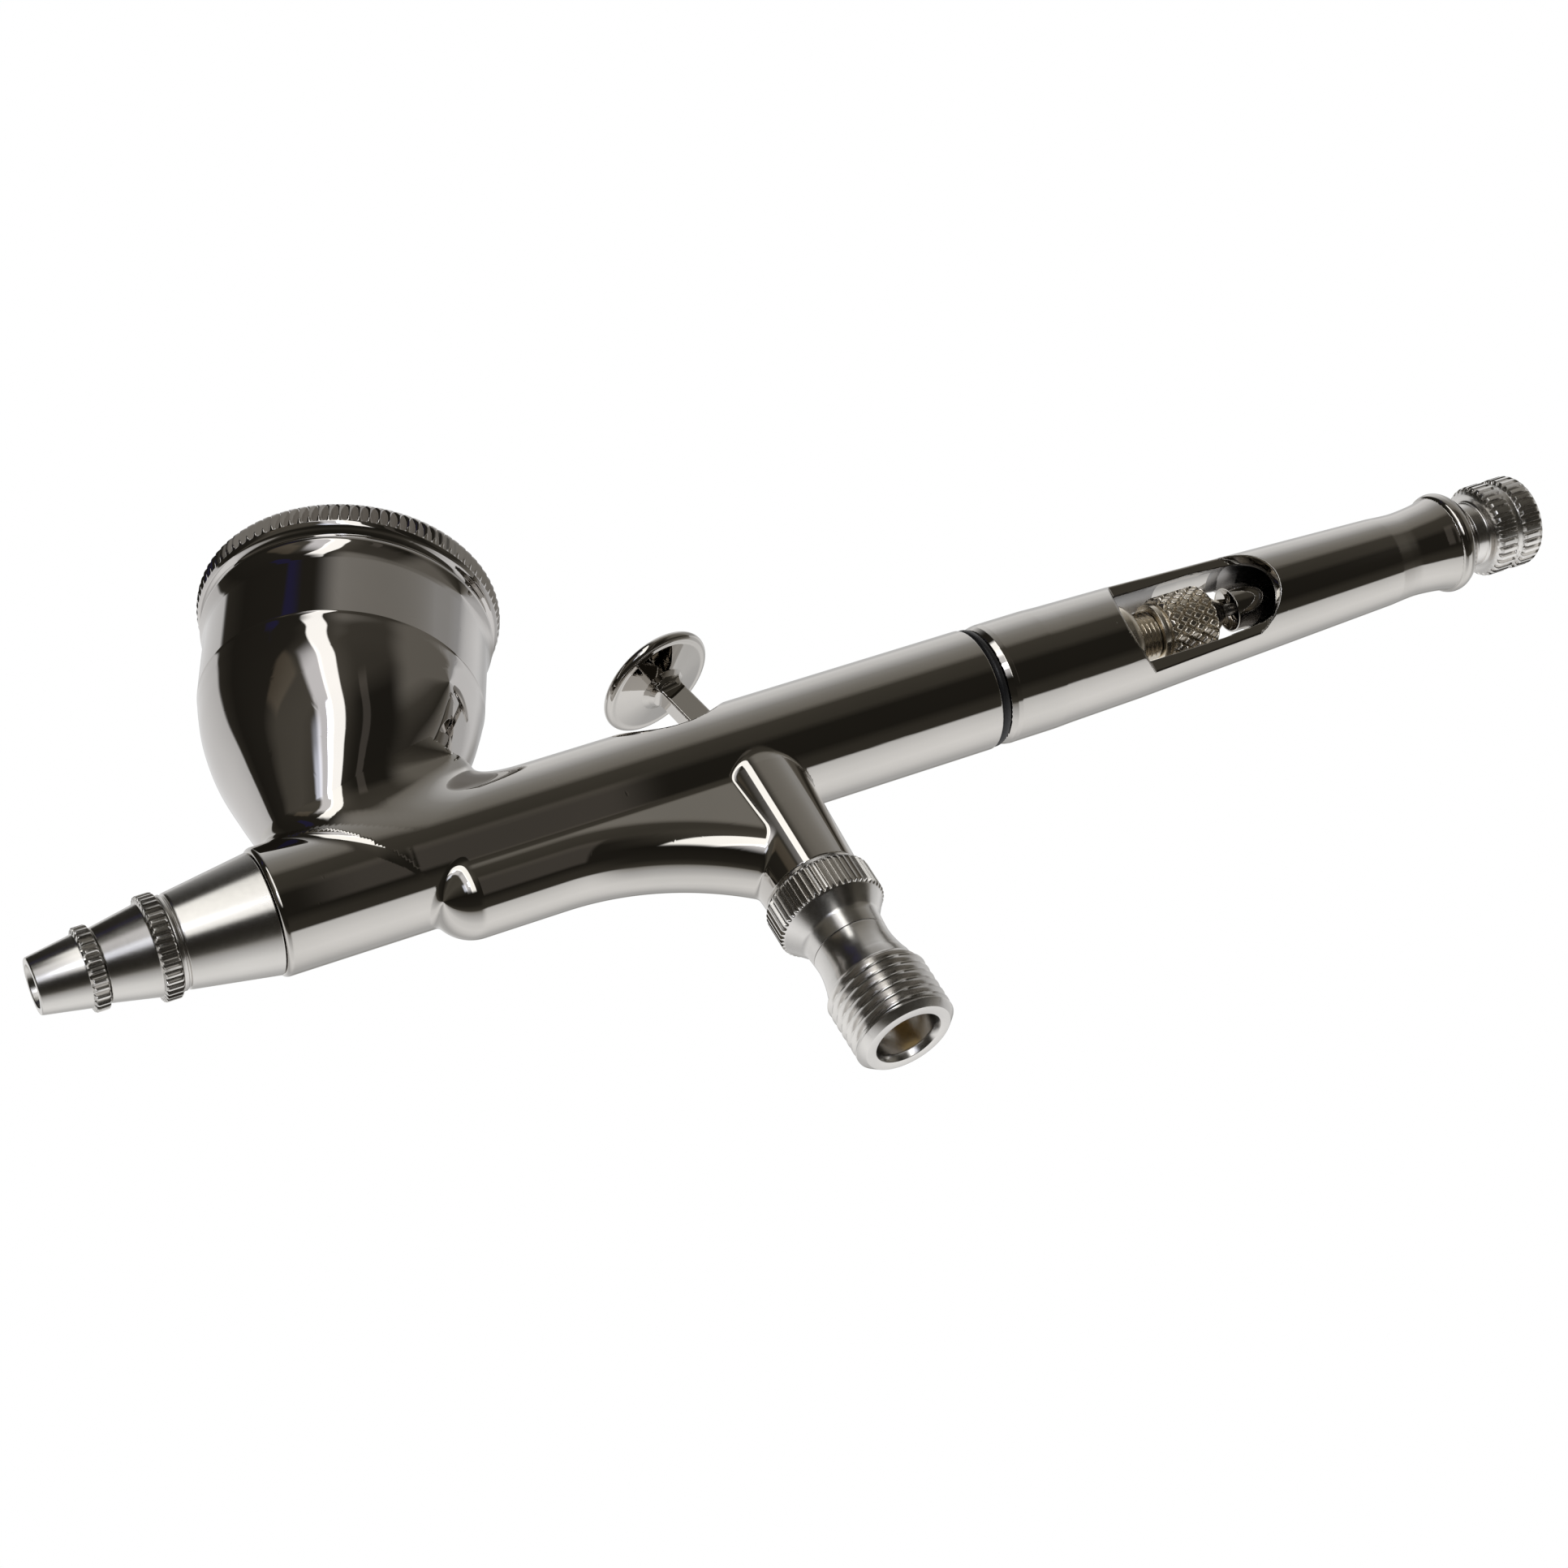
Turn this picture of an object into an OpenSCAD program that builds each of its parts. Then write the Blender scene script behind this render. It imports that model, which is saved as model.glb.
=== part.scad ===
/* [Barrel] */
// Height of the barrel axis above the hose thread's end face
axis_z = 34.25; // [34.2:0.01:34.3]
// Radius of the barrel tube
body_r = 6; // [5.95:0.01:6.05]
// Front end of the barrel tube, from the valve axis
body_front = -46.9; // [-47:0.1:-46.8]
// Rear end of the barrel tube
body_rear = 25.8; // [25.6:0.1:25.9]
// Radius of the bore that carries the paint round the needle
fluid_r = 1.6; // [1.4:0.1:1.8]

/* [Needle] */
// Radius of the needle's shank
needle_r = 0.6; // [0.5:0.01:0.6]
// Rear end of the needle
needle_end = 61.5; // [58:0.5:62]

/* [Paint cup] */
// Lean of the cup towards the tail, in degrees
cup_lean = 25.4; // [25:0.1:26]
// Where the cup's axis crosses the barrel axis
cup_x = -41; // [-41.2:0.1:-40.8]
// Wall of the cup
cup_wall = 0.8; // [0.6:0.1:1]

/* [Trigger] */
// Radius of the trigger's finger pad
pad_r = 5.95; // [5:0.05:6]
// Lean of the finger pad towards the nozzle, in degrees
pad_lean = 11.5; // [9:0.5:13]
// Radius of the saddle that is cut in the barrel under the trigger
saddle_r = 7.7; // [7.5:0.1:7.8]

/* [Air valve] */
// Radius over the crests of the hose thread
thread_r = 4.864; // [4.8:0.001:4.9]
// Radius of the valve body's knurled ring
valve_ring_r = 5.3; // [5.1:0.1:5.5]
// Radius of the barrel's air duct
duct_r = 0.8; // [0.6:0.05:0.8]

/* [Handle] */
// Distance from the barrel axis to the flat cut of the window
window_depth = 2.45; // [2.4:0.05:2.6]
// Angle by which the window looks down from level
window_turn = 12; // [8:1:16]
// Wall of the handle at the window
handle_wall = 1.2; // [1.1:0.05:1.3]

/* [Hidden] */
$fn = 72;
fit = 0.02;             // radial gap of a screwed or pressed joint in one body
running = 0.05;         // radial gap of a running joint

fairing_r = 4.2;        // half width of the air duct's fairing
fairing_nose = -29.1;   // centre of its round nose
fairing_drop = 4.8;     // depth of its centre line under the barrel axis
bend_x = -21;           // where the fairing begins to curve down to the valve
bend_r = 32.2;          // radius of the bend's centre line
bend_drop = fairing_drop + bend_r;
bend_angle = 37;

foot_z = axis_z - 4.2;  // hinge of the main lever
foot_r = 1;
rocker_x = 2.5;         // hinge of the auxiliary lever
rocker_z = axis_z - 4.4;
rocker_pin_r = 0.4;
lever_slot_w = 3.4;
rod_r = 0.95;           // rod of the air valve's piston
seat_z = 20;            // air valve's seat
window_front = 43.35;
window_slant = 0.66;
window_end_r = 4.85;
window_end_x = 54.5;
stop_x = 55.5;          // mouth of the needle stop
spindle_r = 1.5;

// ---- Helpers ----

// Turns an outline of [radius, x] points about the barrel axis
module turned_x(outline) {
    translate([0, 0, axis_z])
        rotate([0, 90, 0])
            rotate_extrude()
                polygon(outline);
}

// Turns an outline of [radius, z] points about the valve axis
module turned_z(outline) {
    rotate_extrude()
        polygon(outline);
}

// Turns an outline of [radius, height] points about the cup's leaning axis
module turned_cup(outline) {
    translate([cup_x, 0, axis_z])
        rotate([0, cup_lean, 0])
            rotate_extrude()
                polygon(outline);
}

// A round bar, or the cutter of a bore, on the barrel axis or at an offset from it
module bar_x(r, from, to, y = 0, z = 0) {
    translate([from, y, axis_z + z])
        rotate([0, 90, 0])
            cylinder(r = r, h = to - from);
}

// A round bar, or the cutter of a bore, on the valve axis or at an offset from it
module bar_z(r, from, to, x = 0) {
    translate([x, 0, from])
        cylinder(r = r, h = to - from);
}

// A round bar across the object
module bar_y(r, length, x, z) {
    translate([x, 0, z])
        rotate([90, 0, 0])
            cylinder(r = r, h = length, center = true);
}

// An O-ring round the barrel axis
module o_ring_x(x, ring_r, wire_r) {
    translate([x, 0, axis_z])
        rotate([0, 90, 0])
            rotate_extrude()
                translate([ring_r, 0])
                    circle(r = wire_r);
}

// An O-ring round the valve axis
module o_ring_z(z, ring_r, wire_r) {
    translate([0, 0, z])
        rotate_extrude()
            translate([ring_r, 0])
                circle(r = wire_r);
}

// A plate of the given width whose side view is an outline of [x, z] points
module side_plate(width, outline) {
    rotate([90, 0, 0])
        translate([0, 0, -width / 2])
            linear_extrude(width)
                polygon(outline);
}

// A coil spring that stands on its own +Z axis
module coil_spring(ring_r, wire_r, length, turns) {
    sides = 8;
    steps = 20 * turns;
    rise = length - 2 * wire_r;
    points = [
        for (i = [0 : steps], j = [0 : sides - 1])
            let (a = 360 * turns * i / steps, b = 360 * j / sides, r = ring_r + wire_r * cos(b))
            [r * cos(a), r * sin(a), wire_r + rise * i / steps + wire_r * sin(b)]
    ];
    walls = [
        for (i = [0 : steps - 1], j = [0 : sides - 1])
            let (k = (j + 1) % sides, a = i * sides)
            [a + j, a + sides + j, a + sides + k, a + k]
    ];
    first = [for (j = [0 : sides - 1]) j];
    last = [for (j = [sides - 1 : -1 : 0]) steps * sides + j];
    polyhedron(points = points, faces = concat(walls, [first, last]), convexity = 10);
}

// ---- Front end ----

// Screws on the nozzle cap and guards the needle's point
module needle_cap() {
    color("silver")
        turned_x([
            [2.0, -68], [2.6, -68], [3.35, -63.6], [3.85, -63.35], [3.85, -62.3], [3.5, -62.1],
            [2.5 + fit, -62.1], [2.5 + fit, -64.6], [1.7, -64.6], [1.7, -66]
        ]);
}

// Screws on the head and shapes the air round the fluid nozzle
module nozzle_cap() {
    color("silver")
        turned_x([
            [0.8, -64.5], [2.3, -64.5], [2.5, -64.3], [2.5, -62], [3.42, -62], [4.25, -57.6],
            [4.85, -57.5], [4.85, -56], [4.7, -55.9], [3.6 + fit, -55.9], [3.6 + fit, -59.4],
            [2.4, -60], [0.9, -64]
        ]);
}

// Brass nozzle that the needle's point closes
module fluid_nozzle() {
    color("goldenrod")
        turned_x([
            [0.14, -65.3], [0.45, -65.3], [1.1, -61], [1.9, -60.7], [1.9, -59.35], [1.5, -59.35],
            [1.5, -56.5], [0.75, -56.5], [0.75, -58]
        ]);
}

// Joins the nozzle to the barrel, with the paint in the middle and the air round it
module head() {
    color("silver")
        difference() {
            turned_x([
                [0, -59.3], [3.6, -59.3], [3.6, -55.9], [4.4, -55.8], [4.4, -55.35], [4.2, -55.3],
                [4.2, -55.15], [4.4, -55.1], [5.7, body_front - 0.05], [4.6, body_front - 0.05],
                [4.6, -43.5], [0, -43.5]
            ]);
            bar_x(1.5 + fit, -60, -56.45);
            bar_x(fluid_r - 0.3, -57, -43);
            for (a = [45 : 90 : 315])
                bar_x(0.45, -60, -43, y = 2.8 * cos(a), z = 2.8 * sin(a));
        }
}

// Keeps the paint out of the air duct behind the head
module head_seal() {
    color("whitesmoke")
        turned_x([[1.7, -43.48], [2.3, -43.48], [2.3, -43.02], [1.7, -43.02]]);
}

// ---- Barrel ----

// Points along the fairing's centre line as it bends down to the valve
function bend_point(a) = [bend_x + bend_r * sin(a), axis_z - bend_drop + bend_r * cos(a)];

// Streamlined housing of the air duct under the barrel: a round nose, a straight run and a bend,
// each a little slimmer than the one before, with a flat web up to the barrel
module fairing() {
    step = 0.05;
    straight = bend_x + 0.5 - fairing_nose;
    translate([fairing_nose, 0, axis_z - fairing_drop]) {
        rotate([0, 90, 0])
            rotate_extrude()
                polygon(concat(
                    [for (a = [0 : 9 : 90]) [fairing_r * sin(a), -fairing_r * cos(a)]],
                    [[fairing_r, straight], [0, straight]]
                ));
        cylinder(r = fairing_r - 3 * step, h = fairing_drop);
    }
    translate([bend_x, 0, axis_z - bend_drop])
        rotate([90, 0, 0])
            rotate([0, 0, 90 - bend_angle])
                rotate_extrude(angle = bend_angle)
                    translate([bend_r, 0])
                        circle(r = fairing_r - step);
    side_plate(2 * (fairing_r - 2 * step), concat(
        [[fairing_nose, axis_z], [fairing_nose, axis_z - fairing_drop]],
        [for (a = [0 : bend_angle / 6 : bend_angle]) bend_point(a)],
        [[0, axis_z - 12], [0, axis_z]]
    ));
}

// Room for the two levers, under the saddle
module lever_slot() {
    side_plate(lever_slot_w, [
        [-2.6, axis_z + 7], [-2.6, axis_z - 2.8], [-1.5, axis_z - 2.8], [-1.5, foot_z - 3.4],
        [1.5, foot_z - 3.4], [3.7, rocker_z - 1.1], [5.5, axis_z - 2.4], [5.5, axis_z + 7]
    ]);
}

// Barrel tube with its air duct, valve stem, saddle and bores, all in one casting
module body() {
    color("silver")
        difference() {
            union() {
                turned_x([
                    [0, body_front], [body_r - 0.21, body_front], [body_r, body_front + 0.25],
                    [body_r, body_rear - 0.2], [body_r - 0.15, body_rear], [0, body_rear]
                ]);
                fairing();
                turned_z([[0, 18.25], [4.6, 18.25], [4.75, 18.5], [5, 25], [5.2, 30], [5.2, axis_z], [0, axis_z]]);
            }
            bar_y(saddle_r, 20, -5, axis_z + 10.2);
            lever_slot();
            bar_x(4.6 + fit, body_front - 1, -43);
            bar_x(fluid_r, -44, -12);
            bar_x(1.9, -12.01, -2);
            bar_x(2.6, 2.6, 10);
            bar_x(4.3, 9.5, 20);
            bar_x(4.9, 19.4, body_rear + 1);
            bar_x(duct_r, -44, -2.9, z = -3.7);
            bar_z(0.5, 23, axis_z - 3.7, x = -2.9);
            bar_z(3.6, 17, 24);
            bar_z(2.42, 23.9, 25.25);
            bar_z(rod_r + 0.25, 25, foot_z);
            translate([cup_x, 0, axis_z])
                rotate([0, cup_lean, 0])
                    cylinder(r = 2, h = 12);
            bar_y(rocker_pin_r + fit, 2 * fairing_r - 1.2, rocker_x, rocker_z);
        }
}

// Gravity cup, brazed to the top of the barrel
module paint_cup() {
    color("silver")
        difference() {
            turned_cup([
                [2, 3], [5.6, 3], [5.8, 5], [6.7, 6], [9.1, 10], [11.3, 14], [12.7, 18], [13.4, 22],
                [13.4, 27], [13.55, 29], [13.9, 30.6], [13.9, 31.1], [13.7, 31.4],
                [13.3 - cup_wall + 0.4, 31.4], [13.4 - cup_wall, 27], [13.4 - cup_wall, 22],
                [12.7 - cup_wall, 18.3], [11.3 - cup_wall, 14.5], [9.1 - cup_wall, 10.6],
                [6.2 - cup_wall, 7.2], [2, 6.2]
            ]);
            bar_x(body_r, cup_x - 20, cup_x + 25);
        }
}

// Lid that drops into the cup's mouth, with a vent hole
module cup_lid() {
    color("silver")
        difference() {
            turned_cup([
                [0, 34.4], [11.4, 34.4], [11.4, 29.4], [12.2, 29.4], [12.5, 29.7], [12.5, 31.5],
                [13.3, 31.5], [13.3, 32], [13.9, 32.3], [14.45, 33.1], [14.45, 34.9], [14.1, 35.3],
                [11, 35.9], [6, 36.5], [0, 36.8]
            ]);
            turned_cup([[0, 30], [0.7, 30], [0.7, 40], [0, 40]]);
        }
}

// ---- Needle and its seals ----

// Soft ring that the needle slides through
module needle_packing() {
    color("white")
        turned_x([
            [needle_r + 0.03, -11.98], [1.88, -11.98], [1.88, -10.4], [needle_r + 0.03, -10.4]
        ]);
}

// Hollow screw that squeezes the needle packing
module packing_screw() {
    color("goldenrod")
        difference() {
            turned_x([
                [needle_r + 0.12, -10.36], [1.88, -10.36], [1.88, -6], [needle_r + 0.12, -6]
            ]);
            translate([-6.5, -3, axis_z - 0.3])
                cube([1, 6, 0.6]);
        }
}

// Needle with its long taper
module needle() {
    color("gainsboro")
        turned_x([
            [0, -65.9], [0.04, -65.8], [needle_r, -58], [needle_r, needle_end - 0.3],
            [needle_r - 0.2, needle_end], [0, needle_end]
        ]);
}

// Sleeve that carries the needle back, with a collar for its spring and a thread for the nut
module needle_guide() {
    color("darkgoldenrod")
        turned_x([
            [needle_r + 0.01, 3], [2.4, 3], [2.4, 5], [1.9, 5.4], [1.9, 12], [2.9, 12.1],
            [2.9, 13.8], [1.9, 14], [1.9, 44.6], [2.5, 44.8], [2.5, 46.2], [1.9, 46.3],
            [1.9, 50], [needle_r + 0.01, 50.6]
        ]);
}

// Spring that pushes the needle home
module needle_spring() {
    color("lightsteelblue")
        translate([16.3, 0, axis_z])
            rotate([0, 90, 0])
                coil_spring(2.5, 0.3, 24.6, 9);
}

// Tube that holds the needle spring, screwed in the rear of the barrel
module spring_case() {
    color("silver")
        turned_x([
            [3.2, 11], [4.28, 11], [4.28, 19.2], [3.9, 19.6], [3.9, 43], [3.6, 43.6],
            [1.95, 43.6], [1.95, 41], [3.2, 41]
        ]);
}

// Nut whose collet grips the needle
module chuck_nut() {
    color("lightgoldenrodyellow")
        turned_x([
            [1.92, 46.3], [3.3, 46.3], [3.4, 46.5], [3.4, 52.5], [2.6, 52.7], [1.35, 54.2],
            [1.03, 54.7], [needle_r + 0.01, 54.7], [needle_r + 0.01, 50.7], [1.92, 50.1]
        ]);
}

// ---- Trigger ----

// Side view of the main lever's stem, from its foot to the pad
module lever_stem() {
    side_plate(3, [
        [-0.8, foot_z], [0.8, foot_z], [0.8, axis_z - 1.6], [1.0, axis_z - 1], [0.75, axis_z + 4.5],
        [-1.85, axis_z + 4.5], [-1.75, axis_z + 1.2], [-1.2, axis_z - 0.7], [-0.8, axis_z - 1.4]
    ]);
    side_plate(2, [
        [0.75, axis_z + 4.4], [0.4, axis_z + 6.3], [-0.75, axis_z + 11.6], [-3.3, axis_z + 11.2],
        [-2.2, axis_z + 6.3], [-1.85, axis_z + 4.4]
    ]);
}

// Finger lever: pressed for air, drawn back for paint
module main_lever() {
    color("silver") {
        difference() {
            union() {
                lever_stem();
                bar_y(foot_r, 3, 0, foot_z);
            }
            translate([-4, -0.7, axis_z - 1.4])
                cube([8, 1.4, 4.8]);
        }
        translate([-2.5, 0, axis_z + 12.4])
            rotate([0, -pad_lean, 0])
                rotate_extrude()
                    polygon([
                        [0, -1.9], [1.5, -1.9], [1.8, -1.4], [2.4, -1.2], [pad_r - 0.8, -0.55],
                        [pad_r - 0.25, -0.5], [pad_r, -0.1], [pad_r - 0.1, 0.35], [pad_r - 0.6, 0.6],
                        [4.2, 0.95], [2.2, 1.22], [0, 1.3]
                    ]);
    }
}

// Rocker between the main lever and the needle guide, forked over the needle
module auxiliary_lever() {
    color("silver")
        difference() {
            union() {
                translate([rocker_x - 0.4, -1.5, rocker_z])
                    cube([0.8, 3, 7]);
                bar_y(0.85, 3, rocker_x, rocker_z);
            }
            bar_y(rocker_pin_r + running, 4, rocker_x, rocker_z);
            translate([rocker_x - 2, -0.75, rocker_z + 3.2])
                cube([4, 1.5, 8]);
        }
}

// Pin that the auxiliary lever rocks on
module lever_pin() {
    color("gray")
        bar_y(rocker_pin_r, 2 * fairing_r - 1.4, rocker_x, rocker_z);
}

// ---- Handle and needle stop ----

// Cutter of the window, which opens both sides and leaves flat rims and round rear ends
module window_cut() {
    translate([0, 0, axis_z])
        for (half = [0, 180])
            rotate([90 + window_turn + half, 0, 0])
                translate([0, 0, window_depth]) {
                    rotate([90, 0, 0])
                        linear_extrude(height = 16, center = true)
                            polygon([
                                [window_front, 0], [window_end_x, 0], [window_end_x, 9],
                                [window_front - 9 * window_slant, 9]
                            ]);
                    translate([window_end_x, 0, 0])
                        cylinder(r = window_end_r, h = 9);
                }
}

// Hollow handle that screws in the barrel, with a window over the chuck nut
module handle() {
    color("silver")
        difference() {
            turned_x([
                [4.3, 20], [4.88, 20], [4.88, 26.9], [5.75, 26.9], [6, 28], [6, 33], [5.9, 35],
                [5.75, 43], [5.47, 50], [5.2, 58], [4.9, 66], [4.6, 74], [4.4, 77], [4.55, 78],
                [4.75, 80], [5, 81.2], [5.22, 82], [5.05, 82.7], [4.7, 83.2], [3.8, 84.1],
                [2.7, 84.1], [2.7, 79], [3.3, 78.6], [3.3, 62], [4.9 - handle_wall, 59], [5.4 - handle_wall, 57],
                [5.7 - handle_wall, 52], [5.7 - handle_wall, 28], [4.3, 27.6]
            ]);
            window_cut();
            turned_x([[2, 81.7], [2.95, 81.7], [2.95, 82.3], [2, 82.3]]);
        }
}

// Black ring between the barrel and the handle
module handle_seal() {
    color("black")
        o_ring_x((body_rear + 26.9) / 2, 5.4, 0.5);
}

// Knob at the tail that screws the needle stop in and out
module stop_knob() {
    color("silver")
        turned_x([
            [0, 67], [spindle_r - 0.2, 67], [spindle_r, 67.2], [spindle_r, 80], [2.6, 80],
            [2.6, 84.5], [3.3, 84.5], [3.3, 86], [4, 86.1], [4.6, 86.5], [4.75, 86.7],
            [4.75, 88.6], [4.4, 88.75], [4.4, 89.35], [4.75, 89.55], [4.77, 91.4], [4.5, 91.8],
            [3.9, 92.1], [0, 92.2]
        ]);
}

// Sleeve that limits how far the needle goes back
module stop_sleeve() {
    color("silver")
        difference() {
            turned_x([
                [2.2, stop_x], [2.3, stop_x], [2.3, 71.8], [3.1, 72], [3.1, 75],
                [spindle_r + running, 75], [spindle_r + running, 64], [1.25, 63.8], [1.25, 57.2]
            ]);
        }
}

// Friction ring that keeps the knob from turning by itself
module stop_seal() {
    color("black")
        turned_x([[2.63, 81.75], [2.93, 81.75], [2.93, 82.25], [2.63, 82.25]]);
}

// ---- Air valve ----

// Knurled valve body that screws in the barrel's stem
module valve_body() {
    color("silver")
        turned_z([
            [2.9, 11.05], [3.7, 11.05], [3.83, 12.4], [3.9, 12.6], [5, 14.3], [valve_ring_r, 14.5],
            [valve_ring_r, 17.5], [4.76, 18.2], [3.58, 18.2], [3.58, 19.6], [3, 19.6],
            [3, 20.6], [3.58, 20.6], [3.58, 22.5], [rod_r + 0.55, 22.5], [rod_r + 0.55, seat_z],
            [2.2, seat_z], [2.2, 14.5], [2.9, 14.5]
        ]);
}

// Threaded end for the air hose
module hose_connector() {
    color("silver")
        turned_z([
            [3.24, 0], [thread_r, 0], [thread_r, 6.3], [4.2, 6.9], [4.2, 7.65], [3.9, 8.7],
            [3.68, 10.3], [3.7, 11], [2.88, 11], [2.88, 14.4], [2.2, 14.4], [2.2, 6],
            [3, 5.4], [3, 0.6]
        ]);
}

// Piston rod that the main lever stands on, with the plug that closes the valve
module valve_piston() {
    color("goldenrod")
        turned_z([
            [0, 12], [0.8, 12], [0.8, 17.5], [1.9, 17.5], [1.9, 19.02], [rod_r, 19.02],
            [rod_r, foot_z - foot_r - 0.03], [0, foot_z - foot_r - 0.03]
        ]);
}

// Ring on the plug that meets the seat
module plug_seal() {
    color("black")
        o_ring_z(19.5, 1.44, 0.45);
}

// Soft ring that the piston rod slides through
module rod_packing() {
    color("white")
        turned_z([[rod_r + 0.03, 24], [2.4, 24], [2.4, 25.2], [rod_r + 0.03, 25.2]]);
}

// Spring that closes the air valve
module valve_spring() {
    color("lightsteelblue")
        translate([0, 0, 9.65])
            coil_spring(1.5, 0.25, 7.8, 6);
}

// Brass screw under the valve spring, with notches for the air and a pin with two flats
module valve_guide() {
    color("goldenrod")
        difference() {
            union() {
                bar_z(2.18, 7, 9.6);
                bar_z(0.95, 2.4, 7.1);
            }
            for (a = [0 : 90 : 270])
                rotate([0, 0, a])
                    translate([1.3, -0.4, 6])
                        cube([2, 0.8, 5]);
            for (side = [-1, 1])
                translate([-2, side > 0 ? 0.6 : -2.6, 1])
                    cube([4, 2, 4]);
        }
}

// Ring that seals the valve body in the stem
module valve_gasket() {
    color("black")
        o_ring_z(20.1, 3.3, 0.28);
}

needle_cap();
nozzle_cap();
fluid_nozzle();
head();
head_seal();
body();
paint_cup();
cup_lid();
needle_packing();
packing_screw();
main_lever();
auxiliary_lever();
lever_pin();
needle();
needle_guide();
needle_spring();
spring_case();
chuck_nut();
handle();
handle_seal();
stop_knob();
stop_sleeve();
stop_seal();
valve_body();
hose_connector();
valve_piston();
plug_seal();
rod_packing();
valve_spring();
valve_guide();
valve_gasket();
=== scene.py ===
"""Airbrush gun: the looks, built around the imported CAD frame.

Lengths are in millimetres until a mesh is made, and +X runs from the nozzle to the tail.
"""

import math

import bpy
import numpy as np
from mathutils import Matrix, Vector


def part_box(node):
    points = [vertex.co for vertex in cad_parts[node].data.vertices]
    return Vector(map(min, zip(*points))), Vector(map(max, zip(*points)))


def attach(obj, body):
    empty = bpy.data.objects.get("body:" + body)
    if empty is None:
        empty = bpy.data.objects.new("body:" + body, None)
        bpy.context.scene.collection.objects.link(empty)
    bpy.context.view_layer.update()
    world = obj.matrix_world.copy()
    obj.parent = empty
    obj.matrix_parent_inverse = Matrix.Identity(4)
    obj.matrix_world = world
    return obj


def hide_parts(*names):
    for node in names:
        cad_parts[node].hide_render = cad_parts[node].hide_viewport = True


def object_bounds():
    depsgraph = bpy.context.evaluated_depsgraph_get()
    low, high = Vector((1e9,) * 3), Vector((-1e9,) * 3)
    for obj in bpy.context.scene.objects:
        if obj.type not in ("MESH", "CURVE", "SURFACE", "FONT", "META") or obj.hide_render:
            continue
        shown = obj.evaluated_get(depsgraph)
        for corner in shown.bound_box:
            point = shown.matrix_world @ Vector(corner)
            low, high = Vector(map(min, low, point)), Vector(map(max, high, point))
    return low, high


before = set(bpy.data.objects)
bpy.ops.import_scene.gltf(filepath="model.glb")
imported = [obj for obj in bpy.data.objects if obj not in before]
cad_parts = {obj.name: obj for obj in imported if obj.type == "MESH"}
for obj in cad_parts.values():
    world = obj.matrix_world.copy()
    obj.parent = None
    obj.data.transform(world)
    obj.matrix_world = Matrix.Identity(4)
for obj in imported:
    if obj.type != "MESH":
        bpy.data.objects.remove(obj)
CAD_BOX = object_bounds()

MM = 0.001
handle_low, handle_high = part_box("handle")
AXIS_Z = (handle_low.z + handle_high.z) / 2 / MM
CUP_LEAN = math.radians(25.4)
CUP_X = -41.0
PAD_LEAN = math.radians(11.5)
WINDOW_TURN = math.radians(12)
WINDOW_DEPTH = 2.45  # from the barrel's axis to the window's flats
WINDOW_FRONT_X = 43.35
WINDOW_SLANT = 0.66  # how far the front edge leans forward for each mm outwards
WINDOW_END_X = 54.5  # middle of the window's round end
WINDOW_END_R = 4.85
BARREL_R = 6.0
BARREL_FRONT_X = -46.9
BARREL_REAR_X = 25.8
FOOT_DROP = 4.2  # from the barrel's axis down to the middle of the lever's foot
FOOT_Z = AXIS_Z - FOOT_DROP
HANDLE_FRONT_X = 22.3
HANDLE_REAR_X = 84.1

# Each axis is an origin and three unit vectors, the last one along the axis
AXES = {
    "barrel": ((0, 0, AXIS_Z), (0, 1, 0), (0, 0, 1), (1, 0, 0)),
    "valve": ((0, 0, 0), (1, 0, 0), (0, 1, 0), (0, 0, 1)),
    "cup": (
        (CUP_X, 0, AXIS_Z),
        (math.cos(CUP_LEAN), 0, -math.sin(CUP_LEAN)),
        (0, 1, 0),
        (math.sin(CUP_LEAN), 0, math.cos(CUP_LEAN)),
    ),
}


# ---- Outlines ----


def spline(points, steps=8):
    """Points on a smooth curve through the given [radius, length] points."""
    p = np.array(points, float)
    p = np.vstack([2 * p[0] - p[1], p, 2 * p[-1] - p[-2]])
    curve = []
    for a, b, c, d in zip(p, p[1:], p[2:], p[3:]):
        for i in range(steps):
            t = i / steps
            curve.append(
                0.5 * (2 * b + (c - a) * t + (2 * a - 5 * b + 4 * c - d) * t**2)
                + 0.5 * (3 * b - a - 3 * c + d) * t**3
            )
    curve.append(p[-2])
    return [tuple(q) for q in curve]


def rounded(outline, radius, steps=3):
    """The closed outline with its corners rounded. A point may give its own radius."""
    done = []
    for i, point in enumerate(outline):
        p = np.array(point[:2], float)
        before = np.array(outline[i - 1][:2], float) - p
        after = np.array(outline[(i + 1) % len(outline)][:2], float) - p
        length_before, length_after = np.linalg.norm(before), np.linalg.norm(after)
        straight = -(before @ after) / (length_before * length_after)
        cut = min(
            point[2] if len(point) > 2 else radius,
            0.45 * length_before,
            0.45 * length_after,
        )
        if straight > math.cos(math.radians(14)) or cut < 0.004 or p[0] < 1e-6:
            done.append(p)
            continue
        start = p + before / length_before * cut
        end = p + after / length_after * cut
        for k in range(steps + 1):
            s = k / steps
            done.append((1 - s) ** 2 * start + 2 * s * (1 - s) * p + s * s * end)
    return done


def subdivided(outline, low, high, step):
    """The closed outline with extra points where it runs between two lengths."""
    done = []
    for i, p in enumerate(outline):
        q = outline[(i + 1) % len(outline)]
        done.append(p)
        if min(p[1], q[1]) >= low - 1e-6 and max(p[1], q[1]) <= high + 1e-6:
            count = int(np.linalg.norm(q - p) / step)
            for k in range(1, count):
                done.append(p + (q - p) * k / count)
    return done


# ---- Cuts in turned pieces ----


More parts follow.
